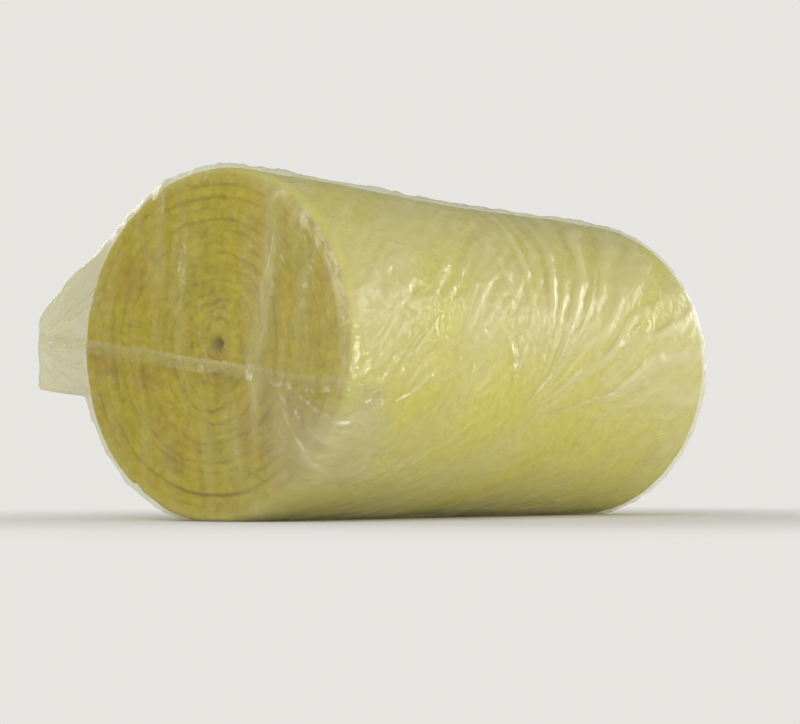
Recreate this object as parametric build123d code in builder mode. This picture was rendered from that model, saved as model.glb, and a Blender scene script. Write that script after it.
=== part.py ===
# Roll of glass-wool blanket in a clear film bag, lying on its side.
# Millimetres. The roll's axis runs along Y, +Z is up and z = 0 is the floor it lies on.
# The bag's welded end faces -Y. The origin is the middle of the face that it rests on.
from build123d import *
import math
import os

# Wound blanket
blanket_width = 1200.0
wool_radius = 310.0
turns = 15
eye_radius = 12.0
groove_depth = 6.0
dish_depth = 9.0
shoulder_radius = 22.0

# Film bag
film_wall = 1.0
film_clearance = 0.3
near_bulge = 14.0
far_bulge = 8.0
weld_width = 8.0
weld_height = 2.5
weld_drop = 28.0
weld_slope = 8.4
ear_length = 98.0
ear_top = 67.0
ear_bottom = 67.0
ear_join = 84.0
ear_run = 260.0

# The soft roll sinks under its own weight until its underside is this wide and flat
rest_width = 120.0

film_inner_radius = wool_radius + film_clearance
film_outer_radius = film_inner_radius + film_wall
sag = film_outer_radius - math.sqrt(film_outer_radius**2 - (rest_width / 2) ** 2)
axis_height = film_outer_radius - sag
half_width = blanket_width / 2
turn_pitch = (wool_radius - eye_radius) / turns

# The standing corner starts behind the rounded fold at the roll's end, and grows out of the bag's side
# from a core that lies a little inside it
end_fold = shoulder_radius + film_wall
setback_share = 0.6
inset_share = 0.18
ear_setback = end_fold * setback_share
ear_inset = end_fold * inset_share
ear_tip = film_outer_radius + ear_length
ear_lean = math.atan2(ear_top, ear_tip) + math.acos(
    (film_outer_radius - ear_inset) / math.hypot(ear_tip, ear_top)
)

# The profiles are drawn on this plane: its x is the radius and its y the distance along the roll
lathe = Plane(origin=(0, 0, axis_height), x_dir=(1, 0, 0), z_dir=(0, 0, 1))
roll_axis = Axis((0, 0, axis_height), (0, 1, 0))


def end_face(radius):
    """Distance of the wool's end from mid-width: the inner turns lie a little deeper than the outer ones."""
    return half_width - dish_depth * (1 - (radius / wool_radius) ** 2)


def groove(radius):
    """Bottom of the groove between two turns at this radius."""
    return end_face(radius) - groove_depth


def end_of_turns(side):
    """Draws one scalloped end of the wool, from the eye out to the outermost turn."""
    for turn in range(turns - 1):
        inner = eye_radius + turn * turn_pitch
        outer = inner + turn_pitch
        middle = (inner + outer) / 2
        ThreePointArc(
            (inner, side * groove(inner)),
            (middle, side * end_face(middle)),
            (outer, side * groove(outer)),
        )


def last_turn(side):
    """Draws the outermost turn's end: a flank up from its groove, then an arc over into the roll's side."""
    inner = wool_radius - turn_pitch
    centre = (wool_radius - shoulder_radius, half_width - shoulder_radius)
    crown = inner + groove_depth / 2
    rise = math.sqrt(shoulder_radius**2 - (crown - centre[0]) ** 2)
    diagonal = shoulder_radius * math.sqrt(0.5)
    Line((inner, side * groove(inner)), (crown, side * (centre[1] + rise)))
    ThreePointArc(
        (crown, side * (centre[1] + rise)),
        (centre[0] + diagonal, side * (centre[1] + diagonal)),
        (wool_radius, side * centre[1]),
    )


# Wound glass wool: one turned solid with its eye
with BuildPart() as wool_roll:
    with BuildSketch(lathe):
        with BuildLine():
            end_of_turns(-1)
            last_turn(-1)
            Line(
                (wool_radius, shoulder_radius - half_width),
                (wool_radius, half_width - shoulder_radius),
            )
            last_turn(1)
            end_of_turns(1)
            Line((eye_radius, -groove(eye_radius)), (eye_radius, groove(eye_radius)))
        make_face()
    revolve(axis=roll_axis)
    split(bisect_by=Plane.XY.offset(film_wall + film_clearance), keep=Keep.TOP)

wool_roll.part.label = "wool_roll"


def across(distance):
    """Plane across the roll at this distance along it, seen from its near end, with its y upwards."""
    return Plane(origin=(0, distance, axis_height), x_dir=(1, 0, 0), z_dir=(0, -1, 0))


def bag_outline(grow):
    """Draws half of the bag's lengthwise section on the lathe plane, grown outwards from its inside."""
    radius = film_inner_radius + grow
    fold = shoulder_radius + grow
    rim = half_width + film_clearance + grow
    corner = fold * math.sqrt(0.5)
    for side, bulge in ((-1, near_bulge), (1, far_bulge)):
        ThreePointArc(
            (0, side * (rim + bulge)),
            ((radius - fold) / 2, side * (rim + bulge * 0.75)),
            (radius - fold, side * rim),
        )
        ThreePointArc(
            (radius - fold, side * rim),
            (radius - fold + corner, side * (rim - fold + corner)),
            (radius, side * (rim - fold)),
        )
    Line((radius, fold - rim), (radius, rim - fold))
    Line((0, rim + far_bulge), (0, -rim - near_bulge))


def on_circle(radius, angle):
    """Point of the circle at this angle above its -x side."""
    return (-radius * math.cos(angle), radius * math.sin(angle))


def standing_corner(grow):
    """Draws the bag's cross-section at its corner: a circle, drawn out to an upright edge on its -x side.

    The upper side leaves the circle along a tangent, and the lower side is nearly level."""
    core = film_inner_radius + grow - ear_inset
    tip = film_inner_radius + grow + ear_length
    inwards = film_wall - grow
    touch = on_circle(core, ear_lean)
    join = on_circle(core, math.asin((inwards - ear_join) / core))
    upper = (-tip, (core - tip * math.cos(ear_lean)) / math.sin(ear_lean))
    lower = (-tip, inwards - ear_bottom)
    ThreePointArc(touch, (core, 0), join)
    Line(join, lower)
    Line(lower, upper)
    Line(upper, touch)


def round_section(grow):
    """Draws the round cross-section behind the corner, in four stretches that match standing_corner's."""
    core = film_inner_radius + grow - ear_inset
    low = math.asin((film_wall - grow - ear_join) / core)
    stops = [low, low / 2, math.atan2(ear_top, ear_tip), ear_lean]
    ThreePointArc(on_circle(core, ear_lean), (core, 0), on_circle(core, low))
    for start, end in zip(stops, stops[1:]):
        ThreePointArc(
            on_circle(core, start),
            on_circle(core, (start + end) / 2),
            on_circle(core, end),
        )


def bag_body(grow):
    """Turns the bag's body, filled, and lofts its standing corner back to the round section behind it."""
    rim = half_width + film_clearance + grow
    with BuildPart() as body:
        with BuildSketch(lathe):
            with BuildLine():
                bag_outline(grow)
            make_face()
        revolve(axis=roll_axis)
        with BuildSketch(across(ear_setback - rim)):
            with BuildLine():
                standing_corner(grow)
            make_face()
        with BuildSketch(across(ear_run - rim)):
            with BuildLine():
                round_section(grow)
            make_face()
        loft(ruled=True)
    return body.part


# Flat weld across the near end, from the bag's corner to the far side of the roll's face. It passes weld_drop
# below the roll's axis, and falls by weld_slope degrees towards +X.
fall = math.radians(weld_slope)
weld_plane = Plane(
    origin=(0, 0, axis_height - weld_drop),
    x_dir=(math.cos(fall), 0, -math.sin(fall)),
    z_dir=(math.sin(fall), 0, math.cos(fall)),
)
with BuildPart() as bag_weld:
    with BuildSketch(lathe):
        with BuildLine():
            bag_outline(film_wall + weld_height)
        make_face()
    revolve(axis=roll_axis)
    face_reach = film_outer_radius - shoulder_radius
    with BuildSketch(weld_plane):
        with Locations((0, -half_width - near_bulge)):
            Rectangle(2 * face_reach, 2 * near_bulge)
    extrude(amount=weld_width / 2, both=True, mode=Mode.INTERSECT)
    weld_start = ear_tip - weld_width
    with BuildSketch(weld_plane):
        with Locations((-weld_start, ear_setback - half_width - film_clearance - film_wall)):
            Rectangle(
                weld_start - face_reach,
                weld_height,
                align=(Align.MIN, Align.MAX),
            )
    extrude(amount=weld_width / 2, both=True)

# Space inside the bag, above its floor
with BuildPart() as bag_inside:
    add(bag_body(0))
    split(bisect_by=Plane.XY.offset(film_wall), keep=Keep.TOP)

# Film bag: one closed skin round the wool
with BuildPart() as film_wrap:
    add(bag_body(film_wall))
    add(bag_weld.part)
    split(bisect_by=Plane.XY, keep=Keep.TOP)
    add(bag_inside.part, mode=Mode.SUBTRACT)

film_wrap.part.label = "film_wrap"

os.makedirs("parts", exist_ok=True)
export_step(wool_roll.part, "parts/wool_roll.step")
export_step(film_wrap.part, "parts/film_wrap.step")
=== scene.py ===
import math

import bpy
import numpy as np
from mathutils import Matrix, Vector


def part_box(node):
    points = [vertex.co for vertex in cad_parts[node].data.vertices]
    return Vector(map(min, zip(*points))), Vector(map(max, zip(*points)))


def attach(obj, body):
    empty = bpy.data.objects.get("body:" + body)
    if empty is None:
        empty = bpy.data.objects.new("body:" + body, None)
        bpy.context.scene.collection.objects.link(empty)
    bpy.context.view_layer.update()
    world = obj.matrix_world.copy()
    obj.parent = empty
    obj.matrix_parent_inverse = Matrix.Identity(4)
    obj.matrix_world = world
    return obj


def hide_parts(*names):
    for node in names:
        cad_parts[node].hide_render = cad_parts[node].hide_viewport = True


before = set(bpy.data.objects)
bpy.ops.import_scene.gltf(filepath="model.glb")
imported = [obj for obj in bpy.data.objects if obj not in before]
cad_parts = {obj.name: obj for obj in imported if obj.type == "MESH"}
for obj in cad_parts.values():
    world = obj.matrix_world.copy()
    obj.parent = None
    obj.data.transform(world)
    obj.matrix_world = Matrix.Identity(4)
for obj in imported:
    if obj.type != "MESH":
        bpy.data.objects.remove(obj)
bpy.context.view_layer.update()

# Lengths are metres. What is easier to read in millimetres is written as a number times MM.
MM = 0.001
TURN = 2 * math.pi


# The roll's own measures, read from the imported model

wool_low, wool_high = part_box("wool_roll")
film_low, film_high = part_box("film_wrap")
wool_radius = (wool_high[0] - wool_low[0]) / 2
axis_height = wool_high[2] - wool_radius
wool_end = wool_high[1]
film_radius = film_high[0]
corner_reach = -film_low[0]
near_bulge = 14 * MM
far_bulge = 8 * MM
film_rim = -film_low[1] - near_bulge
floor_level = film_low[2]
girth = TURN * film_radius


# Smooth noise, for whole arrays at once

def lattice_noise(u, v, columns, rows, seed):
    """Gradient noise about 0, from -1 to 1.

    u and v count lattice cells, and the pattern repeats after columns cells in u and rows cells in v.
    Each corner of a cell has a random slope, and the four ramps are blended with 6t^5 - 15t^4 + 10t^3."""
    rng = np.random.default_rng(seed)
    angle = rng.uniform(0, TURN, (columns, rows))
    slope_u, slope_v = np.cos(angle), np.sin(angle)
    iu, iv = np.floor(u).astype(int), np.floor(v).astype(int)
    fu, fv = u - iu, v - iv
    wu = fu**3 * (fu * (fu * 6 - 15) + 10)
    wv = fv**3 * (fv * (fv * 6 - 15) + 10)
    total = 0.0
    for du, weight_u in ((0, 1 - wu), (1, wu)):
        for dv, weight_v in ((0, 1 - wv), (1, wv)):
            cu, cv = (iu + du) % columns, (iv + dv) % rows
            ramp = slope_u[cu, cv] * (fu - du) + slope_v[cu, cv] * (fv - dv)
            total = total + ramp * weight_u * weight_v
    return total * 1.5


def line_noise(u, columns, seed):
    """Noise along a line. u counts cells, and the pattern repeats after columns of them."""
    return lattice_noise(u, 0 * u + 0.5, columns, 4, seed)


def flat_noise(x, z, wide, tall, cells, seed):
    """Noise over a flat chart with its origin in the middle. A cell is wide by tall, in millimetres."""
    return lattice_noise(x / (wide * MM) + cells // 2, z / (tall * MM) + cells // 2, cells, cells, seed)


def skin_noise(turned, along, count, tall, rows, seed):
    """Noise round the roll, with count cells to a turn, each tall millimetres long.

    turned is a share of a turn, and along the distance from the roll's middle."""
    return lattice_noise(turned * count, along / (tall * MM) + rows // 2, count, rows, seed)


def raised_lines(noise, sharpness):
    """Raised lines where the noise crosses 0: (1 - |noise|) to the power of sharpness, from 0 to 1."""
    return np.clip(1 - np.abs(noise), 0, 1) ** sharpness


def smooth_step(low, high, value):
    """0 below low, 1 above high, and 3t^2 - 2t^3 between."""
    t = np.clip((value - low) / (high - low), 0, 1)
    return t * t * (3 - 2 * t)


def hump(value, middle, width):
    """A bell of height 1 at middle, down to 0.37 at width from it."""
    return np.exp(-(((value - middle) / width) ** 2))


def soft_min(a, b, blend):
    """The smaller of two lengths, rounded over about blend where they cross."""
    share = np.clip(0.5 + 0.5 * (b - a) / blend, 0, 1)
    return b + (a - b) * share - blend * share * (1 - share)


def short_way(distance, whole):
    """A distance round a closed path, taken the shorter way: from -whole / 2 to whole / 2."""
    return (distance + whole / 2) % whole - whole / 2


# Meshes from grids

def put_in_scene(name, data):
    """A new object at the origin for this mesh, lamp or camera."""
    item = bpy.data.objects.new(name, data)
    bpy.context.scene.collection.objects.link(item)
    return item


def mesh_piece(name, vertices, faces, **looks):
    """A smooth mesh object. Each of looks is one number for every vertex, for the material to read."""
    mesh = bpy.data.meshes.new(name)
    mesh.from_pydata(vertices, [], faces)
    mesh.shade_smooth()
    for look, values in looks.items():
        mesh.attributes.new(look, "FLOAT", "POINT").data.foreach_set("value", values.astype(np.float32))
    return put_in_scene(name, mesh)


def grid_mesh(name, points, poles, at_poles, **looks):
    """Mesh from points[ring, step, xyz], rings round the roll, closed by a point at one pole or at both.

    Step j + 1 lies anticlockwise of step j as seen from the near end, so the faces point outwards. looks are
    grids for mesh_piece, and at_poles is what they are at the poles."""
    rings, steps, _ = points.shape
    here = np.arange(steps)
    beside = (here + 1) % steps
    start = (np.arange(rings - 1) * steps)[:, None]
    quads = np.stack([start + here, start + beside, start + steps + beside, start + steps + here], axis=2)
    faces = quads.reshape(-1, 4).tolist()
    near = np.full(steps, rings * steps)
    last = (rings - 1) * steps
    fans = [(near, beside, here), (near + 1, last + here, last + beside)]
    for fan in fans[:len(poles)]:
        faces += np.stack(fan, axis=1).tolist()
    looks = {look: np.append(grid, [at_poles] * len(poles)) for look, grid in looks.items()}
    return mesh_piece(name, points.reshape(-1, 3).tolist() + poles, faces, **looks)


def film_patch(name, points, milk):
    """Open mesh of film from points[patch, row, column, xyz], each patch a grid, and how milky each point is.

    Rows, then columns, turn anticlockwise as seen from outside."""
    number = np.arange(milk.size).reshape(points.shape[:3])
    faces = [number[:, :-1, :-1], number[:, 1:, :-1], number[:, 1:, 1:], number[:, :-1, 1:]]
    faces = np.stack(faces, axis=-1).reshape(-1, 4)
    return mesh_piece(name, points.reshape(-1, 3).tolist(), faces.tolist(), milk=milk.ravel())


# Wound glass wool. The blanket's tail ends in a step, tail_angle round from +X, and relief_limit is how far
# the ends may stand out of their dished plane

turns = 15
eye_radius = 12 * MM
eye_depth = 55 * MM
groove_depth = 6 * MM
dish_depth = 9 * MM
shoulder_radius = 22 * MM
turn_pitch = (wool_radius - eye_radius) / turns
relief_limit = 4.5 * MM
tail_step = 7 * MM
tail_angle = math.radians(232)
wool_floor = floor_level + 1.6 * MM


def waist(angle, along):
    """How far the soft roll draws in between its ends: a bell along the roll and slow dents round it."""
    dents = 3.0 * MM * skin_noise(angle / TURN, along, 5, 330, 20, 31)
    bell = 6 * MM * hump(along, 30 * MM, 280 * MM)
    return np.maximum(bell + dents * hump(along, 0, 500 * MM), 0)


def winding(radius, angle, seed):
    """Where a point of the wool's end lies in the winding: turns out from the eye, and along the blanket.

    The phase is (radius + wobble) / pitch - angle / turn, so that whole numbers are the gaps between turns.
    The wobble pushes the rings out of round by up to a pitch, and dies away at the roll's rim."""
    share = radius / wool_radius
    wobble = 15 * MM * lattice_noise(angle / TURN * 5, radius / (95 * MM), 5, 8, seed)
    wobble += 5 * MM * lattice_noise(angle / TURN * 17, radius / (40 * MM), 17, 16, seed + 1)
    wobble = wobble * (1 - share**4) * smooth_step(0, 0.16, share)
    phase = (radius + wobble - eye_radius) / turn_pitch - angle / TURN
    return phase, np.floor(phase) + angle / TURN


def wool_end_relief(radius, angle, seed):
    """How far the wool's end stands out of its own dished plane, and how open the gap between turns is.

    Each turn weaves in and out along its length, rounds down into the gap beside it, and is made of thin
    layers that follow it round. Torn tufts lie over all."""
    phase, unrolled = winding(radius, angle, seed)
    within = phase % 1
    weave = 5.5 * MM * line_noise(unrolled * 3, 64, seed + 2)
    weave += 3.0 * MM * line_noise(unrolled * 11, 200, seed + 3)
    openness = 0.55 + 0.75 * lattice_noise(phase * 0.9 + 2, angle / TURN * 14, 40, 14, seed + 4)
    gap = np.clip(openness, 0.05, 1) * np.abs(2 * within - 1) ** 7
    layers = 0.9 * MM * lattice_noise(unrolled * 13, phase * 2.5 + 8, 320, 96, seed + 5)
    layers += 0.4 * MM * lattice_noise(unrolled * 31, phase * 3.4 + 8, 640, 140, seed + 6)
    x, z = radius * np.cos(angle), radius * np.sin(angle)
    pull_x = 16 * MM * flat_noise(x, z, 52, 52, 40, seed + 7)
    pull_z = 16 * MM * flat_noise(x, z, 47, 47, 40, seed + 10)
    along_tuft = 0.8 * (x + pull_x) + 0.6 * (z + pull_z)
    over_tuft = 0.8 * (z - pull_z) - 0.6 * (x - pull_x)
    tufts = 2.1 * MM * flat_noise(along_tuft, over_tuft, 33, 25, 80, seed + 8)
    tufts += 0.8 * MM * flat_noise(x - 0.5 * z + pull_z, z + 0.5 * x - pull_x, 14, 12, 160, seed + 9)
    return weave + layers + tufts - groove_depth * gap, gap


def wool_roll():
    """The wound blanket: end, shoulder, side, shoulder and end, from pole to pole.

    On an end, radius grows evenly from the eye to the shoulder and the height is the dished plane plus the
    relief. On the side, the radius is the roll's, less a soft unevenness and the step at the blanket's tail.
    Below, the roll is pressed flat on the floor."""
    steps = 330
    end_rings, shoulder_rings, side_rings = 104, 8, 76
    angle = np.linspace(0, TURN, steps, endpoint=False)
    flat_radius = wool_radius - shoulder_radius
    end_radius = np.linspace(eye_radius * 0.35, flat_radius, end_rings)
    bend = np.linspace(0, math.pi / 2, shoulder_rings + 2)[1:-1]
    shoulder_out = flat_radius + shoulder_radius * np.sin(bend)
    shoulder_in = shoulder_radius * (1 - np.cos(bend))
    side_half = wool_end - shoulder_radius
    side_along = np.linspace(-side_half, side_half, side_rings)

    radius = np.concatenate([
        end_radius, shoulder_out, np.full(side_rings, wool_radius), shoulder_out[::-1], end_radius[::-1],
    ])
    flat_ends = np.full(end_rings, -wool_end)
    along = np.concatenate([
        flat_ends, shoulder_in - wool_end, side_along, wool_end - shoulder_in[::-1], -flat_ends,
    ])
    a, r = np.meshgrid(angle, radius)
    y = along[:, None] + 0 * a

    share = r / wool_radius
    on_end = 1 - smooth_step(flat_radius / wool_radius, 1.0, share)
    dish = dish_depth * (1 - share**2) + eye_depth * hump(r, 0, eye_radius * 0.8)
    near = y < 0
    relief_near, gap_near = wool_end_relief(r, a, 3)
    relief_far, gap_far = wool_end_relief(r, a, 40)
    relief = np.minimum(np.where(near, relief_near, relief_far), relief_limit)
    gap = np.where(near, gap_near, gap_far) * on_end
    outwards = (relief - dish - relief_limit) * on_end
    y = y + np.where(near, -outwards, outwards)

    # Side: soft unevenness from the winding, and the step where the blanket's tail ends
    behind_tail = (a - tail_angle) % TURN
    tail = -tail_step * np.exp(-behind_tail / 0.10)
    lumps = 3.0 * MM * skin_noise(a / TURN, y, 14, 150, 40, 21)
    lumps += 1.6 * MM * skin_noise(a / TURN, y, 60, 34, 80, 22)
    r = r + (1 - on_end) * soft_min(tail + lumps - 1.4 * MM, 0, 4 * MM) - waist(a, y)

    z = np.maximum(axis_height + r * np.sin(a), wool_floor)
    points = np.stack([r * np.cos(a), y, z], axis=2)
    deep = wool_end - dish_depth - eye_depth - 5 * MM
    poles = [(0, -deep, axis_height), (0, deep, axis_height)]
    return grid_mesh("glass_wool_roll", points, poles, 1, turn_gap=gap, cut_end=on_end)


# Clear film bag. The standing corner's edge goes from corner_bottom to corner_top, counted up from the axis,
# its lower side meets the roll at corner_join, and it dies away corner_run along the roll

corner_top = 67 * MM
corner_bottom = -67 * MM
corner_join = -84 * MM
corner_run = 260 * MM
end_fold = 23 * MM
gather_radius = 9 * MM
frill_reach = 42 * MM
film_flat_radius = film_radius - end_fold
fold_length = end_fold * math.pi / 2


def near_dome(radius):
    """How far the welded end bulges at this radius: near_bulge (1 - (radius / film_radius)^2)."""
    return near_bulge * np.clip(1 - (radius / film_radius) ** 2, 0, 1)


def near_outline(angle):
    """Distance from the axis to the bag's edge at its near end: round, but for the standing corner.

    The corner's upper side is a tangent of the circle, its edge is upright at corner_reach, and its lower
    side falls back to the circle almost level."""
    cos, sin = np.cos(angle), np.sin(angle)
    lean = math.atan2(corner_top, corner_reach)
    lean += math.acos(film_radius / math.hypot(corner_reach, corner_top))

    # A side that a direction misses, or nearly so, counts as far away
    far_away = 3.0
    least = 0.05
    facing = -cos * math.cos(lean) + sin * math.sin(lean)
    upper = np.where(facing > least, film_radius / np.maximum(facing, least), far_away)
    edge = np.where(cos < -least, corner_reach / np.maximum(-cos, least), far_away)
    join_x = -math.sqrt(film_radius**2 - corner_join**2)
    run, rise = join_x + corner_reach, corner_join - corner_bottom
    across = sin * run - cos * rise
    level = -2 * MM
    rounding = 14 * MM
    lower = (corner_join * run - join_x * rise) / np.minimum(across, level)
    lower = np.where(across < level, lower, far_away)
    corner = soft_min(soft_min(upper, edge, rounding), lower, rounding)
    last = math.pi + math.asin(-corner_join / film_radius)
    in_corner = (cos < 0) & (angle > math.pi - lean) & (angle < last)
    return np.where(in_corner, np.maximum(corner, film_radius), film_radius)


def leaning(base, per_mm=0.0):
    """A lean for crease_lines: base degrees, and per_mm more for each millimetre of u."""
    def lean(u, v):
        return base + per_mm * u
    return lean


def crease_lines(rng, count, area, lengths, lean, spread, heights, widths):
    """Random creases in an area of a chart, as rows of start, end, height and width, all in millimetres.

    area is low u, high u, low v, high v. lean gives the direction at each place, in degrees from the v axis
    towards u, and spread how far the creases differ from it."""
    u = rng.uniform(area[0], area[1], count)
    v = rng.uniform(area[2], area[3], count)
    length = rng.uniform(lengths[0], lengths[1], count)
    turn = np.radians(lean(u, v) + spread * rng.standard_normal(count))
    du, dv = length / 2 * np.sin(turn), length / 2 * np.cos(turn)
    height = rng.uniform(heights[0], heights[1], count)
    width = rng.uniform(widths[0], widths[1], count)
    return np.stack([u - du, v - dv, u + du, v + dv, height, width], axis=1)


def crease_fan(rng, pinch, leans, reaches, starts, heights, widths):
    """Creases that spread from a pinch in the film, one for each lean and reach, in crease_lines' form."""
    turn = np.radians(leans)
    count = len(turn)
    away = np.stack([np.sin(turn), np.cos(turn)], axis=1)
    start = pinch + away * rng.uniform(starts[0], starts[1], count)[:, None]
    end = pinch + away * reaches[:, None]
    height = rng.uniform(heights[0], heights[1], count)
    width = rng.uniform(widths[0], widths[1], count)
    return np.column_stack([start, end, height, width])


def creases(u, v, lines, whole=None):
    """Height of creased film over a flat chart, in metres, with lines in millimetres.

    Each crease is a ridge whose section is height / (1 + (distance / width)^2)^1.5, steeper on one flank,
    and which tapers to nothing at both ends. Where creases cross, the higher one wins. whole is the length
    after which u comes back to its start."""
    height = 0 * u
    for u0, v0, u1, v1, rise, width in lines * MM:
        du, dv = u1 - u0, v1 - v0
        length = math.hypot(du, dv)
        from_u = u - u0
        if whole:
            from_u = short_way(from_u - du / 2, whole) + du / 2
        from_v = v - v0
        along = (from_u * du + from_v * dv) / length**2
        aside = (from_u * dv - from_v * du) / length
        aside = np.where(aside > 0, aside * 1.7, aside)
        taper = np.clip(4 * along * (1 - along), 0, 1) ** 0.7
        ridge = rise * taper / (1 + (aside / width) ** 2) ** 1.5
        height = np.maximum(height, ridge)
    return height


# The pinch that the large fan spreads from, in degrees round from +X and millimetres along the roll, and
# the height of its folds and the degrees from one to the next. All long folds climb round the roll by
# film_slant of their length along it
pinch_round, pinch_along = -26, -86
fan_height = 5.2 * MM
fan_step = 7.0
film_slant = 0.65


def fan_folds(s, y):
    """Height of the broad folds that spread from the large pinch.

    Seen from the pinch, bearing is the angle from along the roll towards round it. The folds are the crests
    of a cosine of the bearing, which slow noise sways, each with a size of its own, and fine lines of noise
    run among them. All grow out of the pinch, and fade far from it and where the film lies plain."""
    from_s = short_way(s - math.radians(pinch_round) * film_radius, girth)
    from_y = y - pinch_along * MM
    reach = np.hypot(from_s, from_y)
    bearing = np.degrees(np.arctan2(from_s, from_y))
    swayed = bearing + 3.4 * lattice_noise(bearing / 22 + 10, reach / (190 * MM), 40, 12, 83)
    fold = np.cos(TURN * swayed / fan_step)
    fold_number = np.floor((swayed + fan_step / 2) / fan_step)
    size = 0.62 + 0.75 * lattice_noise(fold_number + 40.5, reach / (300 * MM), 80, 8, 76)
    fine = raised_lines(lattice_noise(bearing / 3.6 + 60, reach / (240 * MM), 130, 8, 77), 2)
    seen = smooth_step(20 * MM, 150 * MM, reach) * (1 - smooth_step(560 * MM, 860 * MM, reach))
    seen = seen * smooth_step(-4, 9, bearing) * (1 - smooth_step(62, 112, bearing))
    return seen * (fan_height * np.clip(size, 0.1, 1) * (0.5 + 0.5 * fold) ** 1.6 + 1.4 * MM * fine)


def pulled_folds(s, y):
    """Height of the long soft folds all round the roll, which climb round it as they run along it.

    They are the zero lines of a noise stretched five times along a slant of 33 degrees, pushed about by
    slower noise so that no two are parallel, and they come and go in patches."""
    push = 34 * MM * skin_noise(s / girth, y, 9, 210, 20, 78)
    across = (s + push - film_slant * y) / girth
    ridge = raised_lines(skin_noise(across, y + push, 46, 215, 20, 79), 2.4)
    slim = raised_lines(lattice_noise(across * 92 + 7, (y - push) / (120 * MM) + 10, 92, 30, 80), 2.4)
    patch = smooth_step(-0.35, 0.45, skin_noise(s / girth, y, 7, 260, 20, 81))
    return (0.4 + 0.6 * patch) * (3.4 * MM * ridge + 1.3 * MM * slim)


def crumples(s, y):
    """Height of small dents all over the side, deepest by the welded end, where the film was handled."""
    dents = raised_lines(lattice_noise(s / girth * 74, y / (27 * MM) + 30, 74, 80, 82), 1.5)
    blobs = raised_lines(lattice_noise(s / girth * 50 + 3, y / (40 * MM) + 30, 50, 60, 84), 2)
    handled = hump(y, -440 * MM, 120 * MM) * hump(short_way(s, girth), 60 * MM, 150 * MM)
    return MM * ((0.4 + 1.4 * handled) * dents + 3.2 * handled * blobs)


def film_pull(u, v):
    """The lean of the film's pull on the side: 14 degrees, swinging in slow waves round and along it."""
    return 14 + 62 * lattice_noise(u * MM / girth * 4, v / 430 + 4, 4, 8, 75)


def across_pull(u, v):
    """The lean at right angles to the film's pull."""
    return 90 + film_pull(u, v)


def side_lines():
    """Creases of the film along the roll's side, on the chart of distance round (s) and along (y).

    A fan of long creases spreads from a pinch low on the right, and crinkles lie near the welded end. Small
    fans spread from other pinches all round, and fine creases follow the film's pull between them."""
    rng = np.random.default_rng(71)
    round_mm = girth / MM
    degree = round_mm / 360

    # The large fan: its reach shrinks as it turns from along the roll to round it
    leans = np.cumsum(rng.uniform(2.2, 5.6, 27)) + 1
    reaches = rng.uniform(0.62, 1.02, 27) * (740 - 300 * np.radians(leans))
    pinch = (pinch_round * degree, pinch_along)
    lines = [crease_fan(rng, pinch, leans, reaches, (5, 190), (2.6, 5.2), (8, 13))]

    # Crinkles by the welded end, most of them at 33 degrees, and the streaks among them
    near_right = (-16 * degree, 32 * degree, -560, -280)
    lines += [crease_lines(rng, 52, near_right, (22, 80), leaning(33), 14, (1.8, 4.0), (5, 8))]
    lines += [crease_lines(rng, 44, near_right, (18, 52), leaning(-45), 22, (1.6, 3.6), (4.5, 7))]
    lines += [np.array([
        [-6 * degree, -470, 9 * degree, -350, 5, 6],
        [-20 * degree, -482, -8 * degree, -380, 5, 6],
        [-11 * degree, -120, 14 * degree, -40, 5, 7],
        [-44 * degree, -360, -34 * degree, -290, 4, 6],
    ])]

    # Small fans from pinches: degrees round, place along, middle lean, spread, rays
    for turned, along, middle, spread, rays in [
        (-50, -540, 22, 44, 9), (-38, -330, 40, 50, 8), (-62, 120, 20, 40, 7), (-44, 560, 165, 60, 9),
        (38, -560, 8, 60, 9), (58, -250, -20, 50, 7), (46, 60, 12, 44, 7), (70, 540, 190, 60, 8),
        (96, -480, 10, 50, 8), (112, -80, 30, 44, 7), (104, 330, -14, 50, 7), (132, -560, -6, 40, 9),
        (150, 200, 16, 46, 7), (158, 560, 172, 54, 9), (186, -330, 4, 40, 8), (196, 40, -24, 50, 7),
        (208, 470, 195, 50, 8), (222, -520, 14, 44, 8), (236, -120, 26, 46, 7), (238, 330, -10, 46, 7),
        (20, 590, 182, 70, 9), (-14, -590, 26, 50, 7), (78, -560, -16, 50, 7), (172, -590, 0, 70, 10),
    ]:
        leans = middle + spread * (np.linspace(-0.5, 0.5, rays) + rng.uniform(-0.06, 0.06, rays))
        reaches = rng.uniform(0.3, 1, rays) * (330 if abs(along) < 400 else 250)
        lines += [crease_fan(rng, (turned * degree, along), leans, reaches, (0, 40), (1.6, 3.8), (7, 12))]

    # Fine creases that follow the pull of the film
    everywhere = (0, round_mm, -580, 580)
    lines += [crease_lines(rng, 240, everywhere, (40, 190), film_pull, 6, (0.6, 2.0), (5, 9))]
    lines += [crease_lines(rng, 60, everywhere, (30, 90), across_pull, 6, (0.6, 1.6), (5, 8))]
    return np.concatenate(lines)


def side_bend(s, y):
    """How far the creases of the side wander from straight lines, round and along the roll."""
    return [9 * MM * skin_noise(s / girth, y, 15, 130, 40, seed) for seed in (72, 73)]


def side_creases(s, y):
    """Height of the creases and billows along the side."""
    bend_s, bend_y = side_bend(s, y)
    height = creases(s + bend_s, y + bend_y, side_lines(), girth)
    height = np.maximum(height, fan_folds(s, y)) + pulled_folds(s, y) + crumples(s, y)
    return height + 0.4 * MM - waist(s / film_radius, y)


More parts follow.
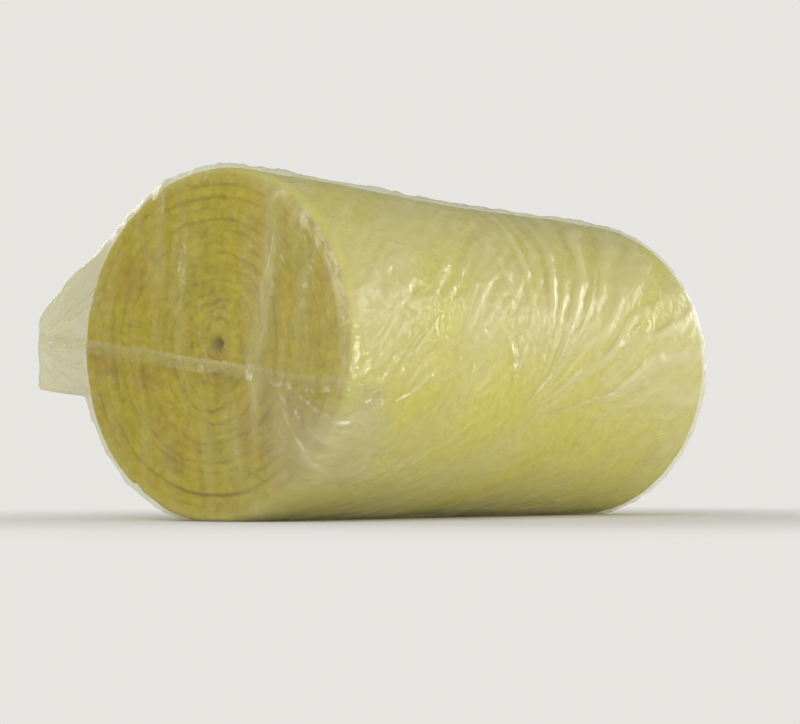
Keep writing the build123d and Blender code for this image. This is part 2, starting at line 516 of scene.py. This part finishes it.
def end_lines():
    """Creases of the film over the welded end, on the chart of x across and z up from the axis.

    Above the weld they hang from the rim, almost upright. Below it they spread towards the lower rim. On the
    standing corner they run together towards its edge."""
    rng = np.random.default_rng(91)
    lines = [np.array([
        [-50, 282, -52, -30, 4.6, 9],
        [160, 232, 128, -20, 5.2, 9],
        [-243, -49, -86, -70, 3.2, 7],
        [-205, 190, -236, 20, 3.2, 9],
        [-120, 255, -150, 10, 2.6, 10],
        [232, 160, 190, -10, 3.4, 9],
        [-20, -52, 14, -262, 2.8, 9],
        [-110, -60, -150, -235, 3.0, 9],
        [62, -70, 78, -262, 3.0, 9],
        [-196, -66, -216, -176, 2.8, 8],
    ])]
    upright, spreading = leaning(0, 0.05), leaning(180, -0.12)
    lines += [crease_lines(rng, 30, (-250, 260, 30, 240), (50, 190), upright, 7, (1.0, 2.4), (7, 12))]
    lines += [crease_lines(rng, 26, (-230, 230, -250, -60), (40, 150), spreading, 14, (1.0, 2.4), (7, 12))]
    leans = 90 - np.arange(-40, 50, 5.5) + rng.uniform(-1.5, 1.5, 17)
    reaches = rng.uniform(110, 230, 17)
    lines += [crease_fan(rng, (-432, 8), leans, reaches, (26, 60), (3.5, 7.0), (4, 7))]
    return np.concatenate(lines)


def end_bend(x, z):
    """How far the creases of the end wander sideways."""
    return 7 * MM * flat_noise(x, z, 90, 90, 40, 92), 0 * x


def end_creases(x, z):
    """Height of the creases and billows over the welded end."""
    bend_x, bend_z = end_bend(x, z)
    height = creases(x + bend_x, z + bend_z, end_lines())
    fold = raised_lines(flat_noise(x + bend_x * 2, z, 52, 280, 40, 94), 2)
    slim = raised_lines(lattice_noise((x - bend_x * 2) / (24 * MM) + 20, z / (150 * MM) + 20, 60, 40, 95), 2)
    billow = flat_noise(x, z, 70, 120, 40, 93)
    return height + 2.2 * MM * fold + 1.1 * MM * slim + 0.9 * MM * (1 + billow)


def far_pleats(angle, share):
    """Pleats of the gathered end: ridges that run in to the middle, each with its own height and reach."""
    count = 46
    sway = 0.35 * lattice_noise(angle / TURN * 9, share * 3 + 2, 9, 12, 101)
    wave = angle / TURN * count + sway * 2
    ridge = (1 - np.abs(2 * (wave % 1) - 1)) ** 1.5
    size = 0.6 + 0.5 * line_noise(np.floor(wave) % count + 0.5, count, 102)
    reach = 1 - smooth_step(0.35, 1.12, share)
    return ridge * np.clip(size, 0.2, 1.2) * reach


def film_profile(reach):
    """Radius, place along the roll and tilt of the bag's skin, at each distance from the near middle.

    The near end is a shallow dome, then comes a quarter turn over the rim, then the side."""
    bend = np.clip((reach - film_flat_radius) / end_fold, 0, math.pi / 2)
    past = np.maximum(reach - film_flat_radius - fold_length, 0)
    radius = np.minimum(reach, film_flat_radius) + end_fold * np.sin(bend)
    along = -film_rim - near_dome(radius) + end_fold * (1 - np.cos(bend)) + past
    return radius, along, bend


def film_relief(angle, radius, along, tilt):
    """Height of the film's creases and billows above its smooth skin, blended from end to side to end."""
    x, z = radius * np.cos(angle), radius * np.sin(angle)
    on_near = 1 - smooth_step(0.1, 1.35, tilt)
    on_side = smooth_step(0.2, 1.45, tilt) * (1 - smooth_step(1.7, 2.9, tilt))
    on_far = smooth_step(1.65, 3.0, tilt)
    height = on_near * end_creases(x, z) + on_side * side_creases(angle * film_radius, along)
    height = height + on_far * 7 * MM * far_pleats(angle, radius / film_radius)
    gathers = np.clip(line_noise(angle / TURN * 70, 70, 103), 0, 1)
    return height + 4 * MM * gathers * hump(tilt, 0.8, 0.75)


# Milky bands of doubled film on the end: start, end (x, z), milk and half-width, the lengths in millimetres
end_bands = np.array([
    [142, 282, 116, -150, 0.62, 16],
    [112, 60, 112, -190, 0.50, 22],
    [-60, 330, -74, 10, 0.30, 16],
    [-178, 40, -146, 146, 0.20, 8],
    [-226, 190, -246, -150, 0.20, 20],
    [186, -246, 262, -240, 0.30, 8],
    [-46, -196, -12, -250, 0.26, 8],
    [-124, -60, -98, -236, 0.14, 12],
    [40, -30, 52, -262, 0.16, 14],
    [20, 292, 8, 96, 0.12, 14],
    [-12, -12, 66, -20, 0.20, 9],
    [204, 150, 216, -70, 0.14, 20],
])


# Paler and clearer places on the side, painted into the film's milk: the paler ones are painted highlights
# and glare, the clearer ones painted shade. Degrees round, millimetres along, extent round and along, and
# milk
side_highlight_and_shade_patches = np.array([
    [24, -545, 170, 50, 0.26],
    [14, -470, 70, 70, 0.26],
    [10, -210, 60, 80, 0.22],
    [14, -44, 50, 46, 0.20],
    [9, 260, 80, 120, 0.20],
    [4, 520, 120, 70, 0.12],
    [-20, -410, 80, 140, -0.26],
    [-14, 90, 110, 180, -0.18],
    [40, 60, 70, 260, -0.04],
    [28, -300, 170, 300, 0.16],
])


def film_milk(angle, radius, along, tilt, height):
    """How milky the film looks, from 0 to 1.

    The ends have upright streaks, the bands and a milky rim, and are milkier on the right. The side has
    slanted clouds of three sizes, the fan's folds, milkier on their ridges as painted reflection and clearer
    in their valleys as painted shade, and the patches of painted highlight and shade. Crests add to it
    everywhere, partly as the haze of film that stands off the wool and partly as painted reflection, and so
    do the standing corner and its hem, whose milk is partly doubled film and partly a painted highlight
    along the corner's edge."""
    x, z = radius * np.cos(angle), radius * np.sin(angle)
    on_far = smooth_step(1.7, 2.8, tilt)
    on_side = smooth_step(0.3, 1.4, tilt) * (1 - on_far)
    streaks = 0.03 + np.clip(flat_noise(x, z, 30, 240, 40, 111) + 0.15, 0, 1) * 0.2
    wander = 9 * MM * flat_noise(x, z, 60, 50, 40, 113)
    bands = creases(x + wander, z, end_bands) / MM
    doubled = 0.15 * smooth_step(40 * MM, 110 * MM, x - 0.1 * z)
    slanted = angle / TURN - film_slant * along / girth
    clouds = skin_noise(slanted, along, 26, 230, 40, 112)
    clouds += 0.6 * skin_noise(slanted, along, 60, 110, 60, 114)
    broad = skin_noise(slanted, along, 11, 330, 40, 115)
    # The fan's folds are milkier on their ridges and clearer in their valleys: painted reflection on the
    # ridges, painted shade between them
    side = 0.3 + 0.24 * clouds + 0.34 * broad + 0.34 * fan_folds(angle * film_radius, along) / fan_height
    # Patches of painted highlight and painted shade
    for turned, place, wide, long, milk in side_highlight_and_shade_patches:
        from_there = np.radians(short_way(np.degrees(angle) - turned, 360)) * film_radius
        side = side + milk * hump(from_there, 0, wide * MM) * hump(along, place * MM, long * MM)
    lifted = height + on_side * waist(angle, along)
    # Crest milk: partly the haze of film standing off the wool, partly painted reflection on the creases
    crest_haze_and_painted_sheen = 0.03 * on_side + 0.28 * smooth_step(2.4 * MM, 8.0 * MM, lifted)
    past_rim = radius - film_radius
    standing = 0.26 * smooth_step(4 * MM, 30 * MM, past_rim)
    # The hem's milk: partly the fold's doubled film, partly a painted highlight along the standing corner's
    # edge
    hem = 0.3 * smooth_step(0.55, 1.1, tilt) * smooth_step(2 * MM, 16 * MM, past_rim)
    rim = 0.2 * smooth_step(-44 * MM, -14 * MM, past_rim)
    ends = (np.maximum(streaks, bands) + doubled + rim) * (1 - on_side - on_far) + (0.1 + streaks) * on_far
    return np.clip(ends + np.clip(side, 0.03, 1) * on_side + crest_haze_and_painted_sheen + standing + hem, 0, 1)


def film_wrap():
    """The bag: welded end with its standing corner, side, and gathered end, from pole to pole.

    Each ring is a distance from the axis and a place along it, and every point is then moved out along the
    surface's own normal by the height of the creases there."""
    steps = 376
    near_rings, fold_rings, side_rings, far_rings, frill_rings = 62, 9, 144, 32, 7
    angle = np.linspace(0, TURN, steps, endpoint=False)
    outline = near_outline(angle)
    pull = (outline - film_radius) / (corner_reach - film_radius)
    near_fold = end_fold * (1 - 0.75 * smooth_step(0, 0.5, pull))

    share = np.linspace(0.01, 1, near_rings)[:, None]
    near_r = share * (outline - near_fold)
    near_y = -film_rim - near_dome(near_r)
    bend = np.linspace(0, math.pi / 2, fold_rings + 2)[1:-1, None]
    fold_r = outline - near_fold + near_fold * np.sin(bend)
    fold_y = -film_rim + near_fold * (1 - np.cos(bend))
    even = np.linspace(0, 1, side_rings)[:, None]
    side_share = even * (0.75 + 0.25 * even)
    side_start = -film_rim + near_fold
    side_y = side_start + (film_rim - end_fold - side_start) * side_share
    side_r = film_radius + (outline - film_radius) * np.clip(1 - (side_y - side_start) / corner_run, 0, 1)
    far_fold_r = film_flat_radius + end_fold * np.cos(bend) + 0 * angle
    far_fold_y = film_rim - end_fold + end_fold * np.sin(bend) + 0 * angle
    far_share = np.linspace(1, gather_radius / film_flat_radius, far_rings)[:, None]
    far_r = far_share * film_flat_radius + 0 * angle
    far_y = film_rim + far_bulge * (1 - (far_r / film_radius) ** 2)

    tilt = np.concatenate([
        np.zeros(near_rings), bend[:, 0], np.full(side_rings, math.pi / 2),
        math.pi / 2 + bend[:, 0], np.full(far_rings, math.pi),
    ])[:, None] + 0 * angle
    r = np.concatenate([near_r, fold_r, side_r, far_fold_r, far_r])
    y = np.concatenate([near_y, fold_y, side_y, far_fold_y, far_y])
    a = angle + 0 * r
    height = film_relief(a, r, y, tilt)
    milk = film_milk(a, r, y, tilt, height)

    r = r + height * np.sin(tilt)
    y = y - height * np.cos(tilt)

    # The bag's mouth is gathered at the far end, and its edge opens out again into a small frill
    spread = np.linspace(0, 1, frill_rings + 1)[1:, None]
    ruffle = lattice_noise(angle / TURN * 26, spread * 1.5 + 0.3, 26, 4, 104)
    edge = line_noise(angle / TURN * 9, 9, 105)
    frill_r = gather_radius + spread * frill_reach * (1 + 0.35 * edge)
    frill_y = y[-1] + 3 * MM * np.sqrt(spread) + 5 * MM * spread * (1 + ruffle)
    r = np.concatenate([r, frill_r])
    y = np.concatenate([y, frill_y])
    a = angle + 0 * r
    milk = np.concatenate([milk, 0.5 + 0.2 * ruffle])

    x, z = r * np.cos(a), r * np.sin(a)
    z = np.maximum(z, floor_level - axis_height)
    points = np.stack([x, y, axis_height + z], axis=2)
    return grid_mesh("film_bag", points, [(0, y[0].mean(), axis_height)], 0, milk=milk)


def wrapped_chart(p, w, direction):
    """Angle and reach on the skin of a point p out from the axis and w at right angles to that.

    On the end the chart is the end's own plane, and on the side w is wrapped round the roll. From 225 mm to
    330 mm out, over the rim, one turns into the other."""
    wrapped = smooth_step(225 * MM, 330 * MM, p)
    reach = (1 - wrapped) * np.hypot(p, w) + wrapped * p
    return direction + (1 - wrapped) * np.arctan2(w, p) + wrapped * w / film_radius, reach


def on_skin(angle, radius, along, tilt, lift):
    """Points that stand off the film's creased skin by lift."""
    height = film_relief(angle % TURN, radius, along, tilt) + lift
    radius = radius + height * np.sin(tilt)
    along = along - height * np.cos(tilt)
    return np.stack([radius * np.cos(angle), along, axis_height + radius * np.sin(angle)], axis=-1)


# The weld crosses the middle weld_drop below the axis, falls to the right, and reaches weld_reach round the
# rim. weld_crimp is from one crimp of its band to the next
weld_drop = 24 * MM
weld_fall = 0.147
weld_reach = 402 * MM
weld_band = 9 * MM
weld_crimp = 6 * MM


def film_weld():
    """The bag's weld: a flat band across the end and on over the rim, with a loose lip hanging below it.

    Across the strip, t runs from the band's upper edge to the lip's. The band is pressed to 1.2 mm and
    crimped, and the lip stands off in soft waves that grow towards its edge."""
    columns, rows = 660, 15
    x = np.linspace(-corner_reach + 3 * MM, weld_reach, columns)[:, None]
    t = np.linspace(0, 1, rows)[None, :]
    band_share = 0.45
    on_lip = (t - band_share) / (1 - band_share)
    lip = 17 * MM + 5 * MM * line_noise(x / (70 * MM) + 10, 30, 121)
    drop = np.where(on_lip < 0, weld_band * t / band_share, weld_band + lip * on_lip)
    wander = 3 * MM * line_noise(x / (110 * MM) + 10, 20, 122)
    z = wander - weld_drop - weld_fall * x - drop
    x = x + 0 * t
    on_left = x < 0
    angle, reach = wrapped_chart(np.maximum(x, 1 * MM), z, 0)
    angle = np.where(on_left, np.arctan2(z, x), angle)
    radius, along, tilt = film_profile(reach)
    straight = np.hypot(x, z)
    radius = np.where(on_left, straight, radius)
    along = np.where(on_left, -film_rim - near_dome(straight), along)
    tilt = np.where(on_left, 0, tilt)
    edge = np.clip(on_lip, 0, 1)
    crimp = 0.5 * MM * np.sin(TURN * x / weld_crimp) * hump(t, 0.22, 0.2)
    wave = lattice_noise(x / (21 * MM) + 20, t * 0.8 + 0.2, 60, 6, 123)
    wave += 0.7 * lattice_noise(x / (52 * MM) + 20, t * 0.5 + 0.2, 60, 6, 124)
    lift = 1.2 * MM + crimp + edge * 4.5 * MM * np.clip(0.75 + wave, 0.1, 2)
    plain = 0.1 + 0.2 * hump(x, 10 * MM, 90 * MM)
    milk = (0.1 + plain) * hump(t, 0.22, 0.26) + plain * 0.7 + 0.12 * np.clip(wave, -1, 1) * edge
    points = on_skin(angle, radius, along, tilt, lift)
    return film_patch("film_weld", points[None], np.clip(milk, 0, 1))


def folded_corner():
    """The bag's other corner, folded flat: doubled film over the lower right of the end and round the rim.

    It is drawn on a flat chart in millimetres, p out from the axis towards the lower right and w at right
    angles to that. Each point is blended from the flap's four corners, and its outer edge bows out."""
    rows, columns = 110, 96
    u = np.linspace(0, 1, rows)[:, None]
    v = np.linspace(0, 1, columns)[None, :]
    corners = np.array([[129, 44], [276, -124], [392, 137], [452, -66]])
    weights = np.stack([(1 - u) * (1 - v), (1 - u) * v, u * (1 - v), u * v])
    p = np.tensordot(corners[:, 0], weights, axes=1)
    w = np.tensordot(corners[:, 1], weights, axes=1)
    p = p + 48 * u**2 * np.sin(math.pi * v) + 5 * lattice_noise(u * 2 + 3, v * 4 + 3, 20, 20, 132)
    w = w + (2 * v - 1) * 16 * np.sin(math.pi * u) + 4 * lattice_noise(u * 4 + 3, v * 2 + 3, 20, 20, 131)
    angle, reach = wrapped_chart(p * MM, w * MM, math.radians(-38))
    radius, along, tilt = film_profile(reach)
    rng = np.random.default_rng(133)
    lines = [crease_lines(rng, 12, (-100, 130, 180, 440), (90, 260), leaning(8), 16, (0.8, 2.2), (8, 14))]
    lines += [np.array([
        [44, 129, 70, 420, 3, 11],
        [30, 150, 10, 450, 2.4, 12],
        [36, 140, -60, 400, 2.4, 12],
    ])]
    ruck = creases(w * MM, p * MM, np.concatenate(lines))
    out = np.minimum(np.minimum(u, 1 - u), np.minimum(v, 1 - v))
    hem = 1 - smooth_step(0, 0.035, out)
    lift = 0.9 * MM + 1.6 * MM * hem + ruck * smooth_step(0, 0.1, out)
    milk = 0.38 + 0.34 * smooth_step(0.1, 0.5, u) + 0.04 * hem + 0.1 * np.clip(ruck / (3 * MM), 0, 1)
    clouds = 0.85 + 0.4 * lattice_noise(u * 3 + 3, v * 3 + 3, 20, 20, 134)
    milk = np.clip(milk * clouds * smooth_step(-0.06, 0.2, out), 0, 1)
    return film_patch("film_folded_corner", on_skin(angle, radius, along, tilt, lift)[None], milk)


def pleat_strips(lines, bend, to_skin):
    """Narrow pleats, where the film is doubled over along its strongest creases.

    Each strip of points[pleat, step, across] follows its line, narrows to a point at both ends, and rises
    across its width from its fold to its free edge."""
    t = np.linspace(0, 1, 30)[None, :, None]
    c = np.linspace(0, 1, 5)[None, None, :]
    u0, v0, u1, v1, rise, width = (lines * MM).T[:, :, None, None]
    du, dv = u1 - u0, v1 - v0
    length = np.hypot(du, dv)
    taper = np.sqrt(np.clip(4 * t * (1 - t), 0, 1))
    aside = (c - 0.2) * width * 1.15 * taper
    u = u0 + du * t + dv / length * aside
    v = v0 + dv * t - du / length * aside
    bend_u, bend_v = bend(u, v)
    u, v = u - bend_u, v - bend_v
    lift = 0.5 * MM + (0.25 * rise * np.sin(c * 2.2) + 0.5 * MM * c) * taper
    points = on_skin(*to_skin(u, v), lift)
    milk = (0.12 + 0.1 * c) * taper + 0 * u
    return points, milk


def end_chart(x, z):
    """Angle, radius, place along and tilt for a point on the flat of the welded end or its corner."""
    radius = np.hypot(x, z)
    return np.arctan2(z, x), radius, -film_rim - near_dome(radius), 0 * x


def side_chart(s, y):
    """Angle, radius, place along and tilt for a point on the side."""
    return s / film_radius, film_radius + 0 * s, y, math.pi / 2 + 0 * s


def film_pleats():
    """All pleats as one mesh, on the creases over 3.3 mm high of the end and over 4.7 mm of the side."""
    ends = end_lines()
    ends = ends[ends[:, 4] > 3.3]

    # Both tips of a pleat lie on the end's flat part or on its corner, or clear of the side's two ends
    tips = ends[:, [0, 2]] + 1j * ends[:, [1, 3]]
    inside = np.abs(tips) < near_outline(np.angle(tips) % TURN) / MM - 6
    on_flat = (np.abs(tips) < 286) | (tips.real < -300)
    sides = side_lines()
    kept = (sides[:, 4] > 4.7) & (np.abs(sides[:, [1, 3]]).max(axis=1) < 572)
    points, milk = [np.concatenate(both) for both in zip(
        pleat_strips(ends[(inside & on_flat).all(axis=1)], end_bend, end_chart),
        pleat_strips(sides[kept], side_bend, side_chart),
    )]
    points[..., 2] = np.maximum(points[..., 2], floor_level)
    return film_patch("film_pleats", points.swapaxes(1, 2), milk.swapaxes(1, 2))


# Materials

def linear(hex_colour):
    """An sRGB hex colour as linear red, green, blue and alpha."""
    channels = [int(hex_colour[k:k + 2], 16) / 255 for k in (1, 3, 5)]
    return [c / 12.92 if c <= 0.04045 else ((c + 0.055) / 1.055) ** 2.4 for c in channels] + [1.0]


def new_material(name):
    """A material with no nodes yet."""
    material = bpy.data.materials.new(name)
    material.use_nodes = True
    material.node_tree.nodes.clear()
    return material


def add(material, kind, settings=None, inputs=None):
    """Adds one node. settings are its properties, and inputs are plain values or another node's output."""
    node = material.node_tree.nodes.new(kind)
    for name, value in (settings or {}).items():
        setattr(node, name, value)
    for name, value in (inputs or {}).items():
        socket = node.inputs[name] if isinstance(name, int) else next(
            s for s in node.inputs if s.name == name and s.enabled
        )
        if isinstance(value, bpy.types.NodeSocket):
            material.node_tree.links.new(value, socket)
        else:
            socket.default_value = value
    return node


def maths(material, operation, first, second):
    """Two numbers worked into one by an operation such as MULTIPLY."""
    return add(material, "ShaderNodeMath", {"operation": operation}, {0: first, 1: second}).outputs[0]


def mixed_colours(material, kind, share, first, second):
    """The first colour, with this share of the second mixed in or multiplied in."""
    node = add(material, "ShaderNodeMix", {"data_type": "RGBA", "blend_type": kind}, {
        "Factor": share, "A": first, "B": second,
    })
    return next(s for s in node.outputs if s.enabled)


def mixed_shaders(material, share, first, second):
    """The first shader, with this share of the second."""
    return add(material, "ShaderNodeMixShader", inputs={0: share, 1: first.outputs[0], 2: second.outputs[0]})


def vertex_value(material, name):
    """One of the numbers that mesh_piece keeps for each vertex."""
    return add(material, "ShaderNodeAttribute", {"attribute_name": name}).outputs["Fac"]


def grain(material, size, detail, roughness, distortion=0.0):
    """Noise from 0 to 1 that is fixed to the object, with patches of about size millimetres."""
    place = add(material, "ShaderNodeTexCoord").outputs["Object"]
    return add(material, "ShaderNodeTexNoise", inputs={
        "Vector": place, "Scale": 1 / (size * MM), "Detail": detail, "Roughness": roughness,
        "Distortion": distortion,
    }).outputs["Fac"]


def bumps(material, depth, height):
    """The surface's direction once height, from 0 to 1, stands out by depth in millimetres."""
    return add(material, "ShaderNodeBump", inputs={
        "Strength": 0.8, "Distance": depth * MM, "Height": height,
    }).outputs["Normal"]


def colour_ramp(material, factor, stops):
    """The colour at factor on a ramp through (position, hex colour) stops."""
    node = add(material, "ShaderNodeValToRGB", inputs={"Fac": factor})
    ramp = node.color_ramp
    while len(ramp.elements) < len(stops):
        ramp.elements.new(0.5)
    for element, (position, colour) in zip(ramp.elements, stops):
        element.position = position
        element.color = linear(colour)
    return node.outputs["Color"]


def glass_wool():
    """Glass wool bound with yellow resin: matt, fibrous, uneven in colour, with painted shade in the gaps
    between its turns.
    """
    material = new_material("resin_bonded_glass_wool")
    blotch = grain(material, 90, 3.0, 0.55)
    tuft = grain(material, 17, 4.0, 0.62, 0.6)
    cut = colour_ramp(material, tuft, [
        (0.24, "#A5921C"), (0.42, "#B6A31F"), (0.6, "#C1AF24"), (0.8, "#CABB36"),
    ])
    cut_tint = colour_ramp(material, blotch, [(0.3, "#C79C46"), (0.5, "#FFFFFF"), (0.72, "#DDE39A")])
    face = colour_ramp(material, tuft, [(0.26, "#BAB048"), (0.5, "#C8C054"), (0.78, "#D2CB6C")])
    cut = mixed_colours(material, "MULTIPLY", 0.42, cut, cut_tint)
    wool_colour = mixed_colours(material, "MIX", vertex_value(material, "cut_end"), face, cut)
    # Painted shade: the gaps between the turns are darkened towards #6A5A20
    gap_painted_shade = maths(material, "MULTIPLY", vertex_value(material, "turn_gap"), 0.24)
    colour = mixed_colours(material, "MIX", gap_painted_shade, wool_colour, linear("#6A5A20"))

    # One fibre is 0.006 mm thick and can't show, so the bumps have the grain of small bundles, 4 mm
    fibre = grain(material, 4, 3.0, 0.7, 1.2)
    body = add(material, "ShaderNodeBsdfPrincipled", inputs={
        "Base Color": colour, "Roughness": 0.95, "Specular IOR Level": 0.2,
        "Normal": bumps(material, 2.2, fibre),
    })
    add(material, "ShaderNodeOutputMaterial", inputs={"Surface": body.outputs["BSDF"]})
    return material


def clear_film():
    """Blown polyethylene film, 0.12 mm: clear, milky where it is creased or doubled, glossy at a slant.

    Its fine crinkles spread the gloss, so a sharp and a broad reflection are mixed."""
    material = new_material("blown_polyethylene_film")
    bump = bumps(material, 3.0, grain(material, 18, 2.5, 0.5, 0.6))
    clear = add(material, "ShaderNodeBsdfTransparent", inputs={"Color": linear("#FCFCF6")})
    milky = linear("#E6DFB2")
    haze = add(material, "ShaderNodeBsdfDiffuse", inputs={"Color": milky, "Normal": bump})
    through = add(material, "ShaderNodeBsdfTranslucent", inputs={"Color": milky, "Normal": bump})
    veil = mixed_shaders(material, 0.35, haze, through)
    milkiness = add(material, "ShaderNodeMapRange", inputs={
        "Value": vertex_value(material, "milk"), "To Min": 0.02, "To Max": 0.6,
    }).outputs["Result"]
    skin = mixed_shaders(material, milkiness, clear, veil)
    white = linear("#FFFFFF")
    sharp, broad = [
        add(material, "ShaderNodeBsdfGlossy", inputs={"Color": white, "Roughness": rough, "Normal": bump})
        for rough in (0.18, 0.5)
    ]
    gloss = mixed_shaders(material, 0.5, sharp, broad)
    slant = add(material, "ShaderNodeLayerWeight", inputs={"Blend": 0.5}).outputs["Facing"]
    shine = add(material, "ShaderNodeMapRange", inputs={
        "Value": maths(material, "POWER", slant, 3.0), "To Min": 0.052, "To Max": 0.3,
    }).outputs["Result"]
    surface = mixed_shaders(material, shine, skin, gloss)
    add(material, "ShaderNodeOutputMaterial", inputs={"Surface": surface.outputs[0]})
    return material


# Floor, light and camera

backdrop_colour = "#E6E5E1"
roll_middle = Vector((0, 0, axis_height))


def studio_floor():
    """A plain pale floor that turns into the backdrop's colour a metre or two out."""
    size = 60.0
    square = [(-size, -size, 0), (size, -size, 0), (size, size, 0), (-size, size, 0)]
    floor = mesh_piece("studio_floor", square, [(0, 1, 2, 3)])
    material = new_material("pale_painted_floor")
    place = add(material, "ShaderNodeTexCoord").outputs["Object"]
    oval = add(material, "ShaderNodeVectorMath", {"operation": "MULTIPLY"}, {0: place, 1: (1.0, 0.8, 1.0)})
    length = add(material, "ShaderNodeVectorMath", {"operation": "LENGTH"}, {0: oval.outputs["Vector"]})
    far = add(material, "ShaderNodeMapRange", {"interpolation_type": "SMOOTHSTEP"}, {
        "Value": length.outputs["Value"], "From Min": 0.45, "From Max": 1.7,
    })
    ray = add(material, "ShaderNodeLightPath").outputs
    seen = maths(material, "MAXIMUM", ray["Is Camera Ray"], ray["Is Glossy Ray"])
    seen = maths(material, "MAXIMUM", seen, ray["Is Transmission Ray"])
    share = maths(material, "MULTIPLY", far.outputs["Result"], seen)
    paint = add(material, "ShaderNodeBsdfDiffuse", inputs={"Color": linear("#DEDDD9")})
    glow = add(material, "ShaderNodeEmission", inputs={"Color": linear(backdrop_colour), "Strength": 1.0})
    both = mixed_shaders(material, share, paint, glow)
    add(material, "ShaderNodeOutputMaterial", inputs={"Surface": both.outputs[0]})
    floor.data.materials.append(material)


def studio_world():
    """Even pale surroundings: a dim light on the object, and the backdrop's colour where they are seen."""
    world = bpy.data.worlds.new("studio")
    bpy.context.scene.world = world
    world.use_nodes = True
    world.node_tree.nodes.clear()
    camera_ray = add(world, "ShaderNodeLightPath").outputs["Is Camera Ray"]
    lit = add(world, "ShaderNodeBackground", inputs={"Color": linear("#F2F2F0"), "Strength": 0.36})
    seen = add(world, "ShaderNodeBackground", inputs={"Color": linear(backdrop_colour), "Strength": 1.0})
    mix = mixed_shaders(world, camera_ray, lit, seen)
    add(world, "ShaderNodeOutputWorld", inputs={"Surface": mix.outputs[0]})


def from_middle(azimuth, elevation, distance):
    """Point in this direction from the roll's middle. Azimuth 0 is in front, at -Y, and 90 is at +X."""
    a, e = math.radians(azimuth), math.radians(elevation)
    direction = Vector((math.sin(a) * math.cos(e), -math.cos(a) * math.cos(e), math.sin(e)))
    return roll_middle + distance * direction


def soft_box(name, azimuth, elevation, distance, width, height, power):
    """A soft area lamp that faces the roll's middle."""
    data = bpy.data.lights.new(name, "AREA")
    data.shape = "RECTANGLE"
    data.size, data.size_y = width, height
    data.energy = power
    lamp = put_in_scene(name, data)
    lamp.location = from_middle(azimuth, elevation, distance)
    lamp.rotation_euler = (roll_middle - lamp.location).to_track_quat("-Z", "Y").to_euler()


def studio_light():
    """Soft boxes beyond the roll's right side, low beside it, in front, above, on the left and behind.

    Each has its azimuth, elevation, distance, width, height and power."""
    soft_box("side_box", 126, 17, 3.2, 1.2, 0.7, 11)
    soft_box("low_strip", 92, -2, 3.0, 2.4, 0.4, 48)
    soft_box("front_box", 14, 24, 4.0, 2.5, 2.2, 74)
    soft_box("top_box", 0, 88, 3.4, 2.6, 2.6, 8)
    soft_box("left_box", -92, 22, 3.8, 2.4, 1.8, 58)
    soft_box("far_box", 170, 12, 3.8, 1.5, 1.1, 32)


def camera():
    """The photograph's direction and distance, from as low as the floor allows."""
    data = bpy.data.cameras.new("camera")
    data.lens = 104
    view = put_in_scene("camera", data)
    view.location = from_middle(36, -3.0, 4.47)
    target = Vector((-35 * MM, 0, axis_height - 5 * MM))
    view.rotation_euler = (target - view.location).to_track_quat("-Z", "Y").to_euler()
    bpy.context.scene.camera = view


wool = wool_roll()
wool.data.materials.append(glass_wool())
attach(wool, "root")
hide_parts("wool_roll")

film_material = clear_film()
film = film_wrap()
weld = film_weld()
corner = folded_corner()
pleats = film_pleats()
for piece in (film, weld, corner, pleats):
    piece.data.materials.append(film_material)
    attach(piece, "root")
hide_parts("film_wrap")

studio_floor()
studio_world()
studio_light()
camera()
bpy.context.scene.view_settings.view_transform = "Standard"
